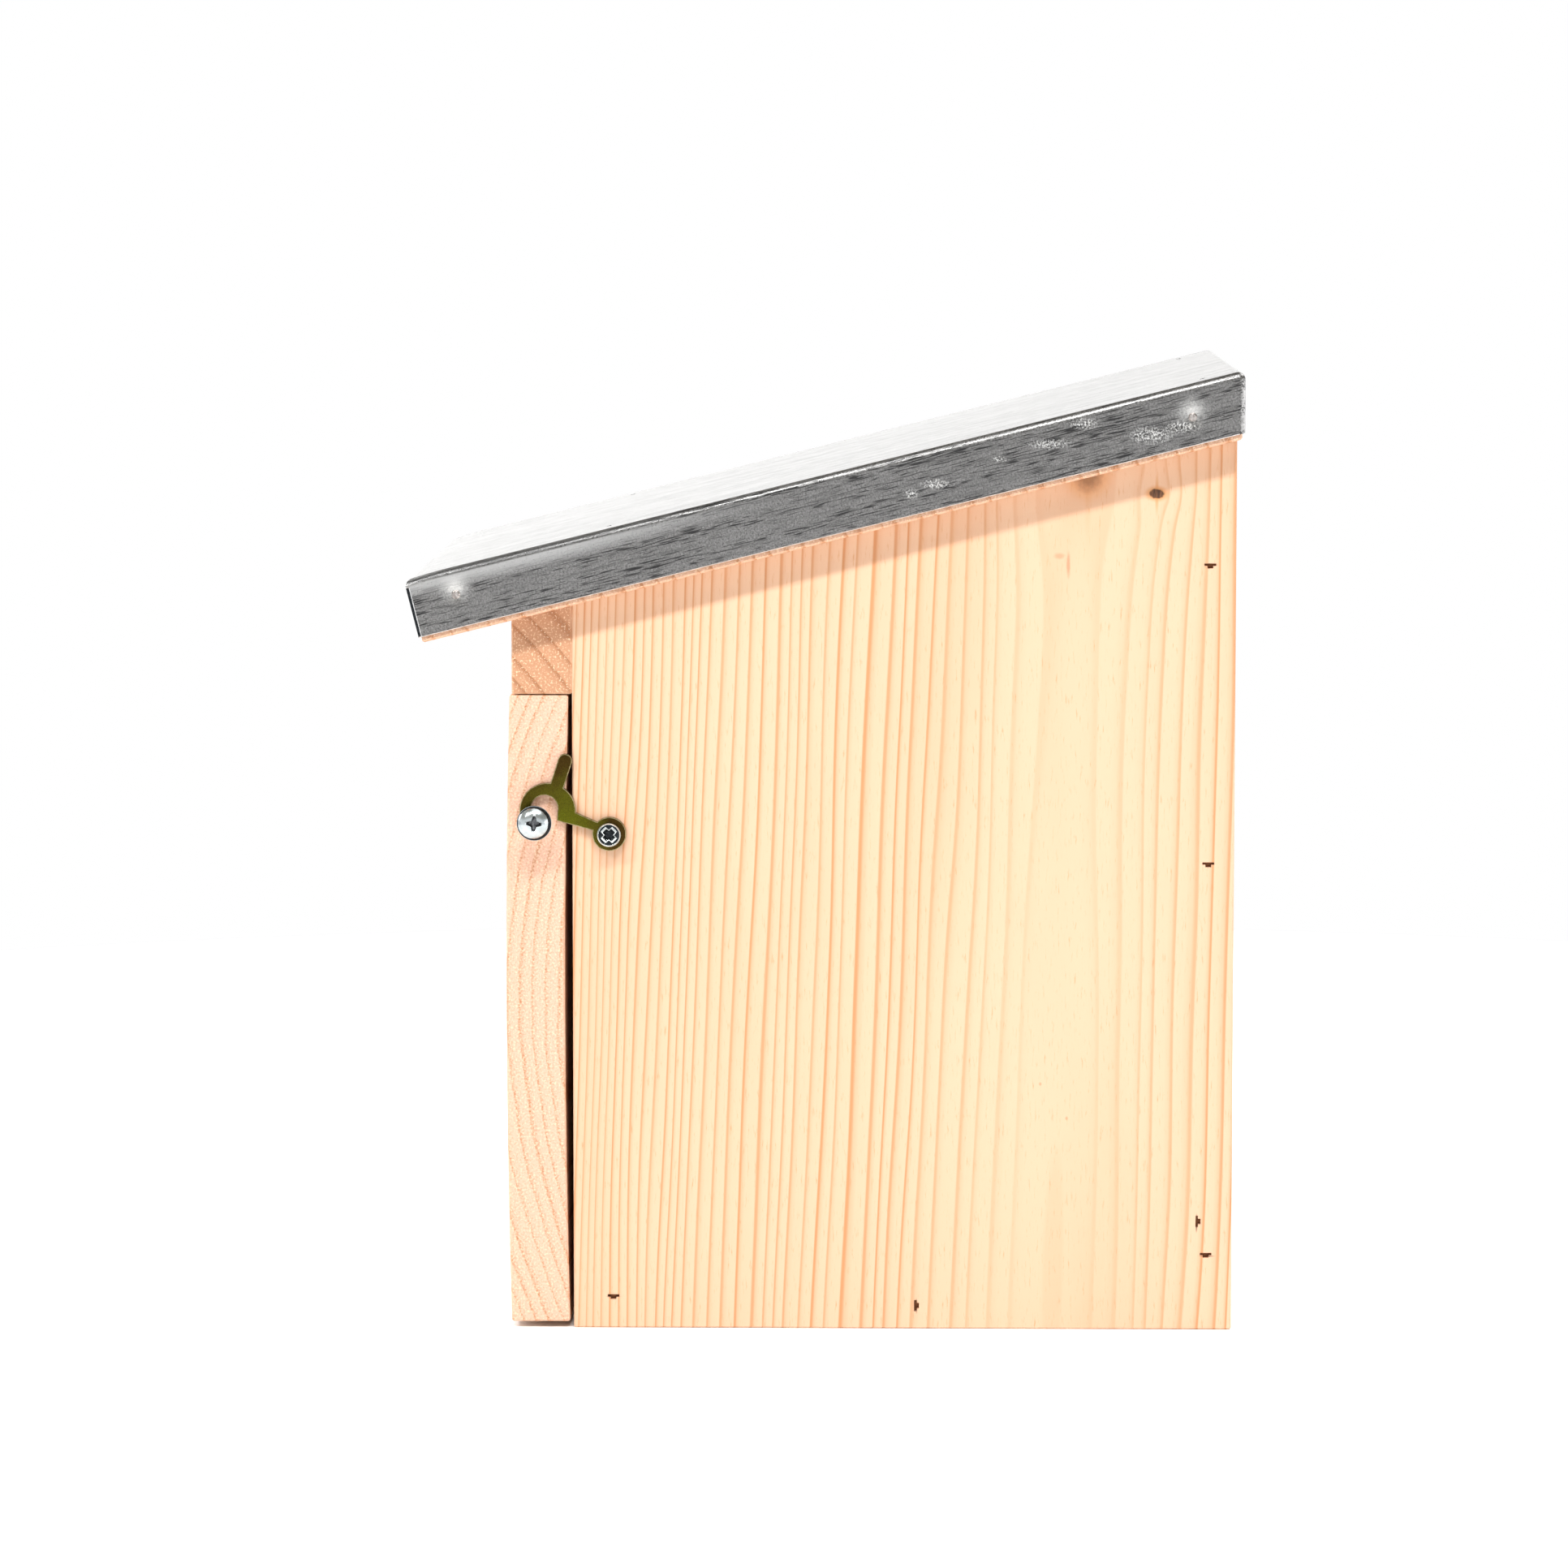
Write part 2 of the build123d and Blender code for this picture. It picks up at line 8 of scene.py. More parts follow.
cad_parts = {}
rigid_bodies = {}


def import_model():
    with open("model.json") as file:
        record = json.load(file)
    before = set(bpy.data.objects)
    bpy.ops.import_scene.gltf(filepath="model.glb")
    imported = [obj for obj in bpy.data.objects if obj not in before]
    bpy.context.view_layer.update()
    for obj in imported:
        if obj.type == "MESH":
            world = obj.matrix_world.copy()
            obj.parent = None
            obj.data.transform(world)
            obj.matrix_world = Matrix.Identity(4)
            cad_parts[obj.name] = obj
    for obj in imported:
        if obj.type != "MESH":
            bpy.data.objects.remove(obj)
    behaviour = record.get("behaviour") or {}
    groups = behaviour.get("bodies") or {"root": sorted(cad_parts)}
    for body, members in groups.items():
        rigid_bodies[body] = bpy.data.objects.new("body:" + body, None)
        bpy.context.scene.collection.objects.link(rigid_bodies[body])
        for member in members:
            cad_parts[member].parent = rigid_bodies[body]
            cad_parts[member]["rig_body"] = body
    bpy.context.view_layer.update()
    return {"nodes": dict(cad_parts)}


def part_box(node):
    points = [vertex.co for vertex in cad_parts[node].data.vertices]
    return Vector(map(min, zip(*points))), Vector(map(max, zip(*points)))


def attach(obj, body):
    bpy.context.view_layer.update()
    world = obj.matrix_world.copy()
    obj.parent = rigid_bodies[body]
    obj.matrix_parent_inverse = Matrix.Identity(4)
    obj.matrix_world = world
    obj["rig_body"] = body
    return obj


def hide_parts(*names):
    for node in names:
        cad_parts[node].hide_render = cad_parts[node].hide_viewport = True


# Looks of a nest box: planed spruce boards, a folded zinc roof, a passivated hook and bright screws.
# Lengths are in metres, and places and sizes within the materials in millimetres.

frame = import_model()
nodes = frame["nodes"]
scene = bpy.context.scene
scene.view_settings.view_transform = "Standard"
millimetre = 0.001

# Camera at the photograph's angle
camera_place = Vector((1.675, 0.0, 0.307))
camera_yaw = radians(1.09)
camera_pitch = radians(5.92)
camera_lens = 144.56

# Pale floor, and a sky that is white round the horizon and dimmer above
floor_radius = 0.75
floor_sides = 128
floor_color = (0.93, 0.93, 0.93)
sky_strength = 1.0
sky_stops = [(0.0, (1, 1, 1)), (0.12, (1, 1, 1)), (0.35, (0.42, 0.4, 0.36)), (1.0, (0.32, 0.3, 0.26))]

# Key lamp of two strips in a row along the roof's slope, which blur small shadows but not the roof's
# A strip is its offset along the slope, its length and its power
key_middle = Vector((1.2, 0.2, 1.9))
key_target = (0, 0, 0.15)
key_width = 0.16
key_strips = {"front_key": (-1.45, 0.62, 19), "back_key": (-0.062, 1.384, 35)}

# Roof slope, which the zinc was rolled along
roof_pitch = radians(14)
slope_along = Vector((0, cos(roof_pitch), sin(roof_pitch)))
slope_up = Vector((0, -sin(roof_pitch), cos(roof_pitch)))

# Editing of the CAD meshes: gaps that count as none, how square a face is to an axis, and sharp edges
weld_gap = 0.002 * millimetre
touch_gap = 0.01 * millimetre
cut_gap = 1e-7
square_share = 0.99
facing_share = 0.9
sharp_angle = radians(32)
rim_angle = radians(30)

# Dents round the nails in the zinc's side flaps
dent_depth = 0.00058
dent_spread = 0.0022
dent_half = 0.006
dent_step = 0.0006

# Crinkles from handling in the near side flap, by their middle in y and z and their half sizes
crinkle_height = 0.00022
crinkle_fineness = 900.0
crinkle_step = 0.0005
crinkles = [
    ((0.0624, 0.2306), (0.006, 0.0024)),
    ((0.0705, 0.2327), (0.005, 0.0016)),
    ((0.0455, 0.2335), (0.004, 0.0016)),
    ((0.0369, 0.2283), (0.006, 0.0014)),
    ((0.0243, 0.2245), (0.002, 0.0008)),
    ((0.008, 0.2182), (0.004, 0.0014)),
    ((0.0018, 0.2157), (0.002, 0.0014)),
]

# Raw cut edge of the side flaps at the bottom and front, and the depth of the front flap's ends, which
# get painted shade
cut_edge = 0.00022
front_flap = 0.00072

# Droop of the zinc's top towards the front
droop_depth = 0.0005
droop_length = 0.012
droop_layer = 0.002
droop_steps = 6

# Edge of the stamped hook
hook_bevel = 0.00022

# Latch screws: steps round the head, from its middle to its rim, and along one turn of the thread
screw_steps = 96
head_steps = 56
thread_steps = 8
thread_pitch = 0.0014
thread_depth = 0.0003
latch_shank = 0.0015
keeper_head = 0.0029
pivot_head = 0.0023

# Cross recesses of the latch screws: turn, reach, half width and taper of the arms
keeper_recess = (radians(-4), 0.0021, 0.00095, 0.72)
pivot_recess = (radians(45), 0.0017, 0.0008, 0.1)

# Their sunk part: width of its wall, depth as a share of the head, and the lip round it
recess_wall = 0.45
recess_sink = 0.5
lip_width = 0.16
lip_height = 0.06 * millimetre

# Rings of painted shade on these heads: shares of the radius from and to, and how much wider they are
# towards +Y
keeper_shade_ring = (0.87, 0.966, 0.06)
pivot_shade_ring = (0.0, 0.86, 0.0)

# Hinge screws: flat heads, four to a node, with a cross recess
leaf_screws = 4
leaf_head_radius = 0.0025
leaf_recess_reach = 0.00125
leaf_recess_half = 0.00034
leaf_recess_depth = 0.0007

# Colours of the wood
early_wood = (0.735, 0.485, 0.325)
late_wood = (0.595, 0.265, 0.113)
pore_wood = (0.47, 0.2, 0.085)
torn_wood = (0.88, 0.65, 0.44)
knot_wood = (0.06, 0.022, 0.008)
knot_heart = (0.15, 0.06, 0.022)
knot_rim = (0.62, 0.27, 0.09)
resin_wood = (0.6, 0.23, 0.12)
split_wood = (0.09, 0.032, 0.01)

# Colours of the zinc and of the hook
zinc_dark = (0.158, 0.156, 0.155)
zinc_light = (0.345, 0.342, 0.339)
zinc_dull = (0.12, 0.119, 0.119)
zinc_streak = (0.035, 0.035, 0.036)
# Painted highlight band and painted shade of the bend on the side flaps
zinc_painted_sheen = (0.62, 0.62, 0.62)
zinc_painted_bend_shade = (0.1, 0.1, 0.1)
# Lighter zinc for the painted highlight round the nails and the flecks on the scuffs
zinc_sheen_and_scuff = (0.85, 0.85, 0.84)
hook_green = (0.112, 0.114, 0.009)
hook_olive = (0.084, 0.07, 0.009)
hook_brown = (0.062, 0.036, 0.008)

# Green part of the hook: its middle in shares of the hook's box, and its half sizes
heel_shares = (0.42, 0.3)
heel_halves = (11.0, 12.0)

# Fibres and patches of the wood, drawn out along the grain
grain_stretch = 0.14

# Rings of the wood: unevenness in rings, the radii between which they darken, and one ring's tones
ring_drift = 1.6
young_radius = 14.0
ripe_radius = 48.0
ring_stops = [
    (0.0, 0.12),
    (0.05, 0.0),
    (0.5, 0.05),
    (0.75, 0.35),
    (0.87, 1.0),
    (0.95, 0.95),
    (1.0, 0.12),
]

# Knots of the near side panel: middle in y and z, half sizes, reach of the bent lines, tone, soft edge
panel_knots = [
    ((64.3, 215.4), (2.0, 1.3), (5.5, 5.5), 1.0, 0.2),
    ((46.8, 220.0), (4.0, 4.4), (15.0, 20.0), 0.6, 0.7),
]

# How far they shove the lines aside, and the streak through them in shares of their half sizes
knot_shove = 0.6
streak_width = 0.3
streak_length = 5.0

# Resin marks of this panel, and its splits at the brads: middle in y and z, half sizes, tone, colour
panel_marks = [
    ((41.9, 197.2), (0.6, 4.0), 0.7, resin_wood),
    ((39.6, 199.5), (1.8, 1.0), 0.5, resin_wood),
    ((42.1, 54.9), (0.5, 0.6), 0.6, resin_wood),
    ((35.3, 63.8), (0.45, 0.6), 0.6, resin_wood),
    ((78.1, 197.35), (2.0, 0.28), 0.9, split_wood),
    ((78.0, 120.8), (2.0, 0.28), 0.9, split_wood),
    ((75.6, 27.8), (0.32, 2.7), 0.9, split_wood),
    ((78.4, 19.2), (2.2, 0.26), 0.9, split_wood),
    ((-74.4, 8.1), (2.0, 0.28), 0.9, split_wood),
    ((3.7, 6.0), (0.3, 2.3), 0.9, split_wood),
]

# Painted highlight halo of the flap nails, a little above them
halo_rise = 1.6
halo_inner = 0.3
halo_outer = 5.5

# Soft painted highlight band under the bend, in the front part of the zinc's side flaps, and the depth
# of the bend, which is painted dark there as shade
sheen_reach = 6.0
sheen_fade = 35.0
sheen_lead = 40.0
bend_low = 2.0
bend_high = 1.2

# Depths behind the side flaps' outer faces where the band has faded out and where it is full
flap_inner = 2.0
flap_outer = 0.5

# Streaks of the zinc, drawn out along the slope
streak_stretch = 0.06


class Graph:
    """A material's nodes, with a short method for each kind that the materials use."""

    def __init__(self, name):
        self.material = bpy.data.materials.new(name)
        self.material.use_nodes = True
        self.tree = self.material.node_tree
        self.shader = self.tree.nodes["Principled BSDF"]
        coordinates = self.tree.nodes.new("ShaderNodeTexCoord")
        self.place = self.scaled(coordinates.outputs["Object"], (1 / millimetre,) * 3)
        self.normal = coordinates.outputs["Normal"]

    def feed(self, socket, value):
        """Links a socket to another node's output, or sets a constant on it."""
        if isinstance(value, bpy.types.NodeSocket):
            self.tree.links.new(value, socket)
        elif isinstance(value, tuple) and len(socket.default_value) == 4:
            socket.default_value = (*value, 1)
        else:
            socket.default_value = value

    def feed_named(self, node, **values):
        """Feeds a node's inputs by their names, in small letters with underscores."""
        for name, value in values.items():
            self.feed(node.inputs[name.replace("_", " ").title()], value)

    def node(self, kind, *values):
        """New node with its first inputs fed from the values given."""
        made = self.tree.nodes.new(kind)
        for socket, value in zip(made.inputs, values):
            self.feed(socket, value)
        return made

    def math(self, operation, *values):
        made = self.node("ShaderNodeMath", *values)
        made.operation = operation
        return made.outputs[0]

    def times(self, product, *values):
        """Product of all the values."""
        for value in values:
            product = self.math("MULTIPLY", product, value)
        return product

    def scale_add(self, value, scale, shift):
        """Value times a scale, plus a shift."""
        return self.math("MULTIPLY_ADD", value, scale, shift)

    def vector_math(self, operation, *vectors):
        made = self.node("ShaderNodeVectorMath", *vectors)
        made.operation = operation
        return made.outputs

    def scaled(self, vector, scale):
        return self.vector_math("MULTIPLY", vector, scale)[0]

    def along(self, vector, direction):
        """Length of a vector along a direction."""
        return self.vector_math("DOT_PRODUCT", vector, direction)["Value"]

    def distance(self, vector, place):
        """Distance of a vector's end from a place."""
        return self.vector_math("DISTANCE", vector, place)["Value"]

    def length(self, *parts):
        """Length of the vector that has these parts."""
        return self.vector_math("LENGTH", self.vector(*parts))["Value"]

    def parts(self, vector):
        return self.node("ShaderNodeSeparateXYZ", vector).outputs

    def vector(self, *parts):
        return self.node("ShaderNodeCombineXYZ", *parts).outputs[0]

    def noise(self, place, scale, detail=2.0, roughness=0.5):
        """Noise with a scale per millimetre."""
        made = self.tree.nodes.new("ShaderNodeTexNoise")
        self.feed_named(made, vector=place, scale=scale, detail=detail, roughness=roughness)
        return made.outputs

    def step(self, value, low, high):
        """Smooth step from 0 at low to 1 at high."""
        made = self.tree.nodes.new("ShaderNodeMapRange")
        made.interpolation_type = "SMOOTHSTEP"
        self.feed_named(made, value=value, from_min=low, from_max=high)
        return made.outputs[0]

    def within(self, value, inner, outer):
        """Smooth step from 1 at inner to 0 at outer."""
        return self.math("SUBTRACT", 1.0, self.step(value, inner, outer))

    def spot(self, across, along, center, half_sizes):
        """Distance from a spot's centre, in spot sizes."""
        parts = []
        for part, middle, half in zip((across, along), center, half_sizes):
            parts.append(self.math("DIVIDE", self.math("SUBTRACT", part, middle), half))
        return self.length(*parts, 0.0)

    def ramp(self, value, stops):
        """Grey ramp through stops of position and level."""
        made = self.node("ShaderNodeValToRGB", value)
        fill_ramp(made, [(position, (level, level, level)) for position, level in stops])
        return made.outputs[0]

    def mix(self, share, first, second):
        made = self.tree.nodes.new("ShaderNodeMix")
        made.data_type = "RGBA"
        self.feed(made.inputs["Factor"], share)
        self.feed(made.inputs[6], first)
        self.feed(made.inputs[7], second)
        return made.outputs[2]

    def bump(self, height, strength, distance):
        made = self.tree.nodes.new("ShaderNodeBump")
        self.feed_named(made, height=height, strength=strength, distance=distance)
        self.feed_named(self.shader, normal=made.outputs[0])

    def finish(self, **settings):
        """Sets or links the shader's own sockets."""
        self.feed_named(self.shader, **settings)
        return self.material


def fill_ramp(ramp, stops):
    """Sets a colour ramp's stops from their positions and colours."""
    elements = ramp.color_ramp.elements
    while len(elements) < len(stops):
        elements.new(1.0)
    for element, (position, color) in zip(elements, stops):
        element.position = position
        element.color = (*color, 1)


def growth_rings(graph, along, parts, strays, pith, lean, wander, ring, crowd):
    """Share of dark late wood at each point, in rings round a pith line that leans along the grain."""
    offsets = []
    for part, stray, start, slope in zip(parts, strays, pith, lean):
        center = graph.scale_add(along, slope, start)
        strayed = graph.scale_add(stray, wander, graph.math("SUBTRACT", part, center))
        offsets.append(graph.math("SUBTRACT", strayed, wander / 2))
    radius = graph.length(*offsets, 0.0)

    # Ring count, crowded towards the bark, with each year's own strength and pale rings near the pith
    crowd_radius, crowd_rate = crowd
    outer = graph.math("MAXIMUM", graph.math("SUBTRACT", radius, crowd_radius), 0.0)
    uneven = graph.noise(graph.vector(radius, 0.0, 0.0), scale=0.11, detail=1.0)["Fac"]
    count = graph.scale_add(radius, 1 / ring, graph.times(outer, outer, crowd_rate))
    count = graph.scale_add(uneven, ring_drift, count)
    year = graph.node("ShaderNodeTexWhiteNoise")
    year.noise_dimensions = "1D"
    graph.feed_named(year, w=graph.math("FLOOR", count))
    strength = graph.scale_add(year.outputs["Value"], 0.4, 0.7)
    ripe = graph.scale_add(graph.step(radius, young_radius, ripe_radius), 0.94, 0.06)
    late = graph.ramp(graph.math("FRACT", count), ring_stops)
    return graph.times(late, graph.times(strength, ripe))


def sawn_grain(graph, late, end, end_late):
    """Colour of sawn end grain, with torn fibres, and the pores in rows along its rings."""
    speck = graph.noise(graph.place, scale=1.8, detail=3.0, roughness=0.65)["Fac"]
    pores = graph.times(graph.step(speck, 0.5, 0.62), graph.scale_add(late, 0.75, 0.3))
    sawn = graph.mix(graph.times(late, 0.8), end, end_late)
    sawn = graph.mix(graph.times(graph.within(speck, 0.37, 0.44), 0.75), sawn, torn_wood)
    return graph.mix(pores, sawn, pore_wood), pores


def pushed_aside(graph, straight, along, knots):
    """Place across the grain, with the lines bent round the knots."""
    pushed = straight
    for center, half_sizes, reach, tone, edge in knots:
        bend = graph.spot(straight, along, center, reach)
        pull = graph.math("EXPONENT", graph.times(bend, bend, -1.0))
        sideways = graph.math("SUBTRACT", straight, center[0])
        pushed = graph.math("SUBTRACT", pushed, graph.times(sideways, pull, knot_shove))
    return pushed


def marked(graph, color, fibre, straight, along, knots, marks):
    """Colour with knots, which have an orange rim and a tapering streak, and with small marks."""
    ragged = graph.scale_add(graph.noise(graph.place, scale=0.9, detail=3.0)["Fac"], 0.5, -0.25)
    grained = graph.mix(graph.step(fibre, 0.4, 0.6), knot_wood, knot_heart)
    for center, (half_width, half_length), reach, tone, edge in knots:
        streak_halves = (half_width * streak_width, half_length * streak_length)
        streak = graph.spot(straight, along, center, streak_halves)
        color = graph.mix(graph.times(graph.within(streak, 0.2, 1.1), 0.9 - edge), color, knot_rim)
        spot = graph.spot(straight, along, center, (half_width, half_length))
        color = graph.mix(graph.times(graph.within(spot, 0.7, 1.9), tone), color, knot_rim)
        core = graph.within(graph.math("ADD", spot, ragged), 1 - edge, 1 + edge / 3)
        color = graph.mix(graph.times(core, tone), color, grained)
    for center, half_sizes, tone, tint in marks:
        spot = graph.math("ADD", graph.spot(straight, along, center, half_sizes), ragged)
        color = graph.mix(graph.times(graph.within(spot, 0.3, 1.1), tone), color, tint)
    return color


def spruce(
    name,
    grain,
    pith,
    lean=(0.0, 0.0),
    ring=3.3,
    crowd=(85.0, 0.0),
    end=(0.7, 0.42, 0.285),
    end_late=(0.62, 0.27, 0.12),
    wander=5.0,
    knots=(),
    marks=(),
):
    """Spruce with its rings round a pith line: the same rings show on the faces and on the end grain.

    The pith leans along the grain, the rings crowd from a radius on, and wander is how far they stray.
    """
    graph = Graph(name)
    x, y, z = graph.parts(graph.place)
    along, first, straight = {"X": (x, y, z), "Z": (z, x, y)}[grain]
    axis = {"X": (1, 0, 0), "Z": (0, 0, 1)}[grain]
    stretch = {"X": (grain_stretch, 1, 1), "Z": (1, 1, grain_stretch)}[grain]
    stretched = graph.scaled(graph.place, stretch)
    strays = graph.parts(graph.noise(stretched, scale=0.045, detail=1.0)["Color"])
    second = pushed_aside(graph, straight, along, knots)
    late = growth_rings(graph, along, (first, second), strays, pith, lean, wander, ring, crowd)

    # Fibres along the grain, and broad patches of warmer wood
    fibre = graph.noise(stretched, scale=1.6, detail=3.0, roughness=0.65)["Fac"]
    patch = graph.noise(stretched, scale=0.03)["Fac"]
    face = graph.mix(late, early_wood, late_wood)
    face = graph.mix(graph.step(fibre, 0.55, 0.85), face, late_wood)
    face = graph.mix(graph.times(graph.step(patch, 0.45, 0.8), 0.15), face, late_wood)

    # End grain where the surface lies across the fibres
    sawn, pores = sawn_grain(graph, late, end, end_late)
    end_share = graph.step(graph.math("ABSOLUTE", graph.along(graph.normal, axis)), 0.6, 0.8)
    color = marked(graph, graph.mix(end_share, face, sawn), fibre, straight, along, knots, marks)
    height = graph.scale_add(fibre, 0.5, graph.times(late, 0.5))
    height = graph.scale_add(graph.times(pores, end_share), -1.0, height)
    graph.bump(height, strength=0.12, distance=0.0004)
    return graph.finish(base_color=color, roughness=0.62)


def sheen_and_scuffs(graph, speck, nails, scuffs):
    """Share of lighter zinc: painted highlight halos above the nails, and light flecks on the scuffs.
    """
    y, z = graph.parts(graph.place)[1:3]
    lighter_share = 0.0
    for nail in nails:
        glow = nail / millimetre + slope_up * halo_rise
        halo = graph.within(graph.distance(graph.place, tuple(glow)), halo_inner, halo_outer)
        lighter_share = graph.scale_add(halo, graph.scale_add(speck, 0.6, 0.15), lighter_share)
    for (scuff_y, scuff_z), halves in scuffs:
        center = (scuff_y / millimetre, scuff_z / millimetre)
        spot = graph.spot(y, z, center, [half / millimetre for half in halves])
        flecks = graph.times(graph.within(spot, 0.3, 1.2), graph.step(speck, 0.48, 0.6))
        lighter_share = graph.math("ADD", flecks, lighter_share)
    return graph.math("MINIMUM", lighter_share, 0.9)


def zinc_sheet(nails, scuffs, flap_half, sheen_end, top_rise):
    """Rolled zinc: speckled grey with thin streaks along the slope, painted highlight halos round the
    nails and light flecks on its scuffs.

    Its side flaps have a painted highlight band under a bend painted dark as shade, from the front to
    sheen_end along the slope.
    """
    graph = Graph("zinc_sheet")
    slope = graph.along(graph.place, tuple(slope_along))
    rise = graph.along(graph.place, tuple(slope_up))
    across = graph.parts(graph.place)[0]
    drawn = graph.vector(graph.times(slope, streak_stretch), rise, across)
    speck = graph.noise(graph.place, scale=2.0, detail=3.0, roughness=0.7)["Fac"]
    brushed = graph.noise(drawn, scale=1.1, roughness=0.6)["Fac"]
    broken = graph.scale_add(speck, 0.2, graph.noise(drawn, scale=3.0)["Fac"])
    broken = graph.scale_add(graph.noise(drawn, scale=0.35, detail=1.0)["Fac"], 0.45, broken)
    streak = graph.step(broken, 0.86, 0.955)
    color = graph.mix(graph.step(speck, 0.32, 0.7), zinc_dark, zinc_light)
    color = graph.mix(graph.times(graph.step(brushed, 0.45, 0.7), 0.45), color, zinc_dull)
    color = graph.mix(graph.times(streak, 0.9), color, zinc_streak)

    # Painted highlight band and painted bend shade of the side flaps
    on_flap = graph.step(graph.math("ABSOLUTE", across), flap_half - flap_inner, flap_half - flap_outer)
    in_front = graph.times(on_flap, graph.within(slope, sheen_end - sheen_fade, sheen_end + sheen_fade))
    bend_shade_share = graph.step(rise, top_rise - bend_low, top_rise - bend_high)
    band_sheen_share = graph.times(
        graph.step(rise, top_rise - sheen_reach, top_rise - bend_low),
        graph.math("SUBTRACT", 1.0, bend_shade_share),
    )
    color = graph.mix(graph.times(band_sheen_share, in_front, 0.75), color, zinc_painted_sheen)
    color = graph.mix(graph.times(bend_shade_share, in_front, 0.85), color, zinc_painted_bend_shade)
    color = graph.mix(sheen_and_scuffs(graph, speck, nails, scuffs), color, zinc_sheen_and_scuff)
    graph.bump(graph.math("SUBTRACT", speck, streak), strength=0.12, distance=0.0003)
    return graph.finish(base_color=color, roughness=graph.scale_add(speck, 0.3, 0.16), metallic=1.0)


def plated(name, light, dark, roughness, scale=0.35):
    """Plated steel whose colour drifts in small clouds."""
    graph = Graph(name)
    cloud = graph.noise(graph.place, scale, detail=3.0, roughness=0.6)["Fac"]
    speck = graph.noise(graph.place, scale=4.0)["Fac"]
    color = graph.mix(graph.step(cloud, 0.35, 0.65), light, dark)
    rough = graph.scale_add(speck, 0.15, roughness)
    graph.bump(speck, strength=0.04, distance=0.0002)
    return graph.finish(base_color=color, roughness=rough, metallic=1.0)


def hook_plating():
    """Yellow passivation: green on the hook's arm, browner towards its finger, thumb tab and eye."""
    graph = Graph("hook_passivation")
    low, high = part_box("hook_plate")
    y, z = graph.parts(graph.place)[1:3]
    heel = []
    for start, end, share in zip(low.yz, high.yz, heel_shares):
        heel.append((start + share * (end - start)) / millimetre)
    cloud = graph.noise(graph.place, scale=0.3, detail=3.0, roughness=0.6)["Fac"]
    speck = graph.noise(graph.place, scale=3.0)["Fac"]
    reach = graph.spot(y, z, heel, heel_halves)
    reach = graph.math("ADD", reach, graph.scale_add(cloud, 1.0, -0.5))
    color = graph.mix(graph.step(reach, 0.1, 0.9), hook_green, hook_olive)
    color = graph.mix(graph.step(reach, 0.8, 1.3), color, hook_brown)
    graph.bump(speck, strength=0.05, distance=0.0002)
    return graph.finish(base_color=color, roughness=graph.scale_add(speck, 0.15, 0.2), metallic=1.0)


passivated = plated("yellow_passivated", (0.15, 0.14, 0.015), (0.085, 0.062, 0.012), roughness=0.22)
bright = plated("bright_screw", (0.78, 0.83, 0.83), (0.6, 0.65, 0.66), roughness=0.1)
nail_zinc = plated("nail_zinc", (0.62, 0.58, 0.56), (0.36, 0.32, 0.3), roughness=0.2, scale=1.2)
cut_zinc = plated("cut_zinc", (0.7, 0.7, 0.71), (0.5, 0.5, 0.51), roughness=0.3, scale=1.0)
# Near black steel for painted shade: the screws' dark rings and recesses, and the front flap's ends
painted_shade = plated("painted_shade_steel", (0.016, 0.019, 0.022), (0.04, 0.045, 0.05), roughness=0.28, scale=2.0)
# Grey steel for painted shade in the screws' recesses
painted_recess_shade = plated("painted_recess_shade_steel", (0.2, 0.21, 0.22), (0.07, 0.075, 0.08), roughness=0.3, scale=1.5)
keeper_steel = plated("keeper_steel", (0.58, 0.64, 0.66), (0.45, 0.5, 0.52), roughness=0.14)
# Painted highlight along the hook's bevelled edges
painted_edge_highlight = plated("painted_edge_highlight", (0.42, 0.37, 0.2), (0.24, 0.19, 0.08), roughness=0.25, scale=1.0)
leaf_steel = plated("leaf_screw_steel", (0.46, 0.49, 0.5), (0.32, 0.34, 0.35), roughness=0.22)
brad_steel = Graph("brad_steel").finish(base_color=(0.24, 0.1, 0.035), roughness=0.6, metallic=0.2)

finishes = {
    "side_panel_right": spruce(
        "right_spruce",
        grain="Z",
        pith=(54.2, 37.4),
        lean=(-0.0096, 0.034),
        crowd=(85.0, 0.0027),
        knots=panel_knots,
        marks=panel_marks,
    ),
    "side_panel_left": spruce(
        "left_spruce",
        grain="Z",
        pith=(-48.0, -20.0),
        lean=(0.012, -0.02),
        crowd=(60.0, 0.002),
    ),
    "back_panel": spruce("back_spruce", grain="Z", pith=(12.0, 118.0), lean=(0.02, 0.012), ring=3.0),
    "floor_panel": spruce("floor_spruce", grain="X", pith=(10.0, -30.0), lean=(0.02, 0.01)),
    "front_rail": spruce(
        "rail_spruce",
        grain="X",
        pith=(-214.0, 67.0),
        ring=5.2,
        end=(0.52, 0.272, 0.152),
        end_late=(0.27, 0.1, 0.034),
        wander=1.0,
    ),
    "door_panel": spruce(
        "door_spruce",
        grain="X",
        pith=(85.0, 82.0),
        lean=(0.01, 0.03),
        ring=3.4,
        end=(0.735, 0.455, 0.335),
        end_late=(0.62, 0.325, 0.2),
        wander=2.5,
    ),
    "roof_board": spruce(
        "roof_spruce",
        grain="X",
        pith=(-230.0, 80.0),
        ring=4.6,
        end_late=(0.5, 0.2, 0.08),
    ),
    "roof_top_nails": bright,
    "side_brads_right": brad_steel,
    "side_brads_left": brad_steel,
    "rail_brads": brad_steel,
}
for level in ("upper", "lower"):
    for part in ("frame_leaf", "door_leaf", "pin"):
        finishes[f"{level}_hinge_{part}"] = passivated
for name, material in finishes.items():
    nodes[name].data.materials.clear()
    nodes[name].data.materials.append(material)


def welded(node):
    """Editable copy of a CAD node's mesh, with its faces joined along their edges."""
    made = bmesh.new()
    made.from_mesh(nodes[node].data)
    bmesh.ops.remove_doubles(made, verts=made.verts, dist=weld_gap)
    return made


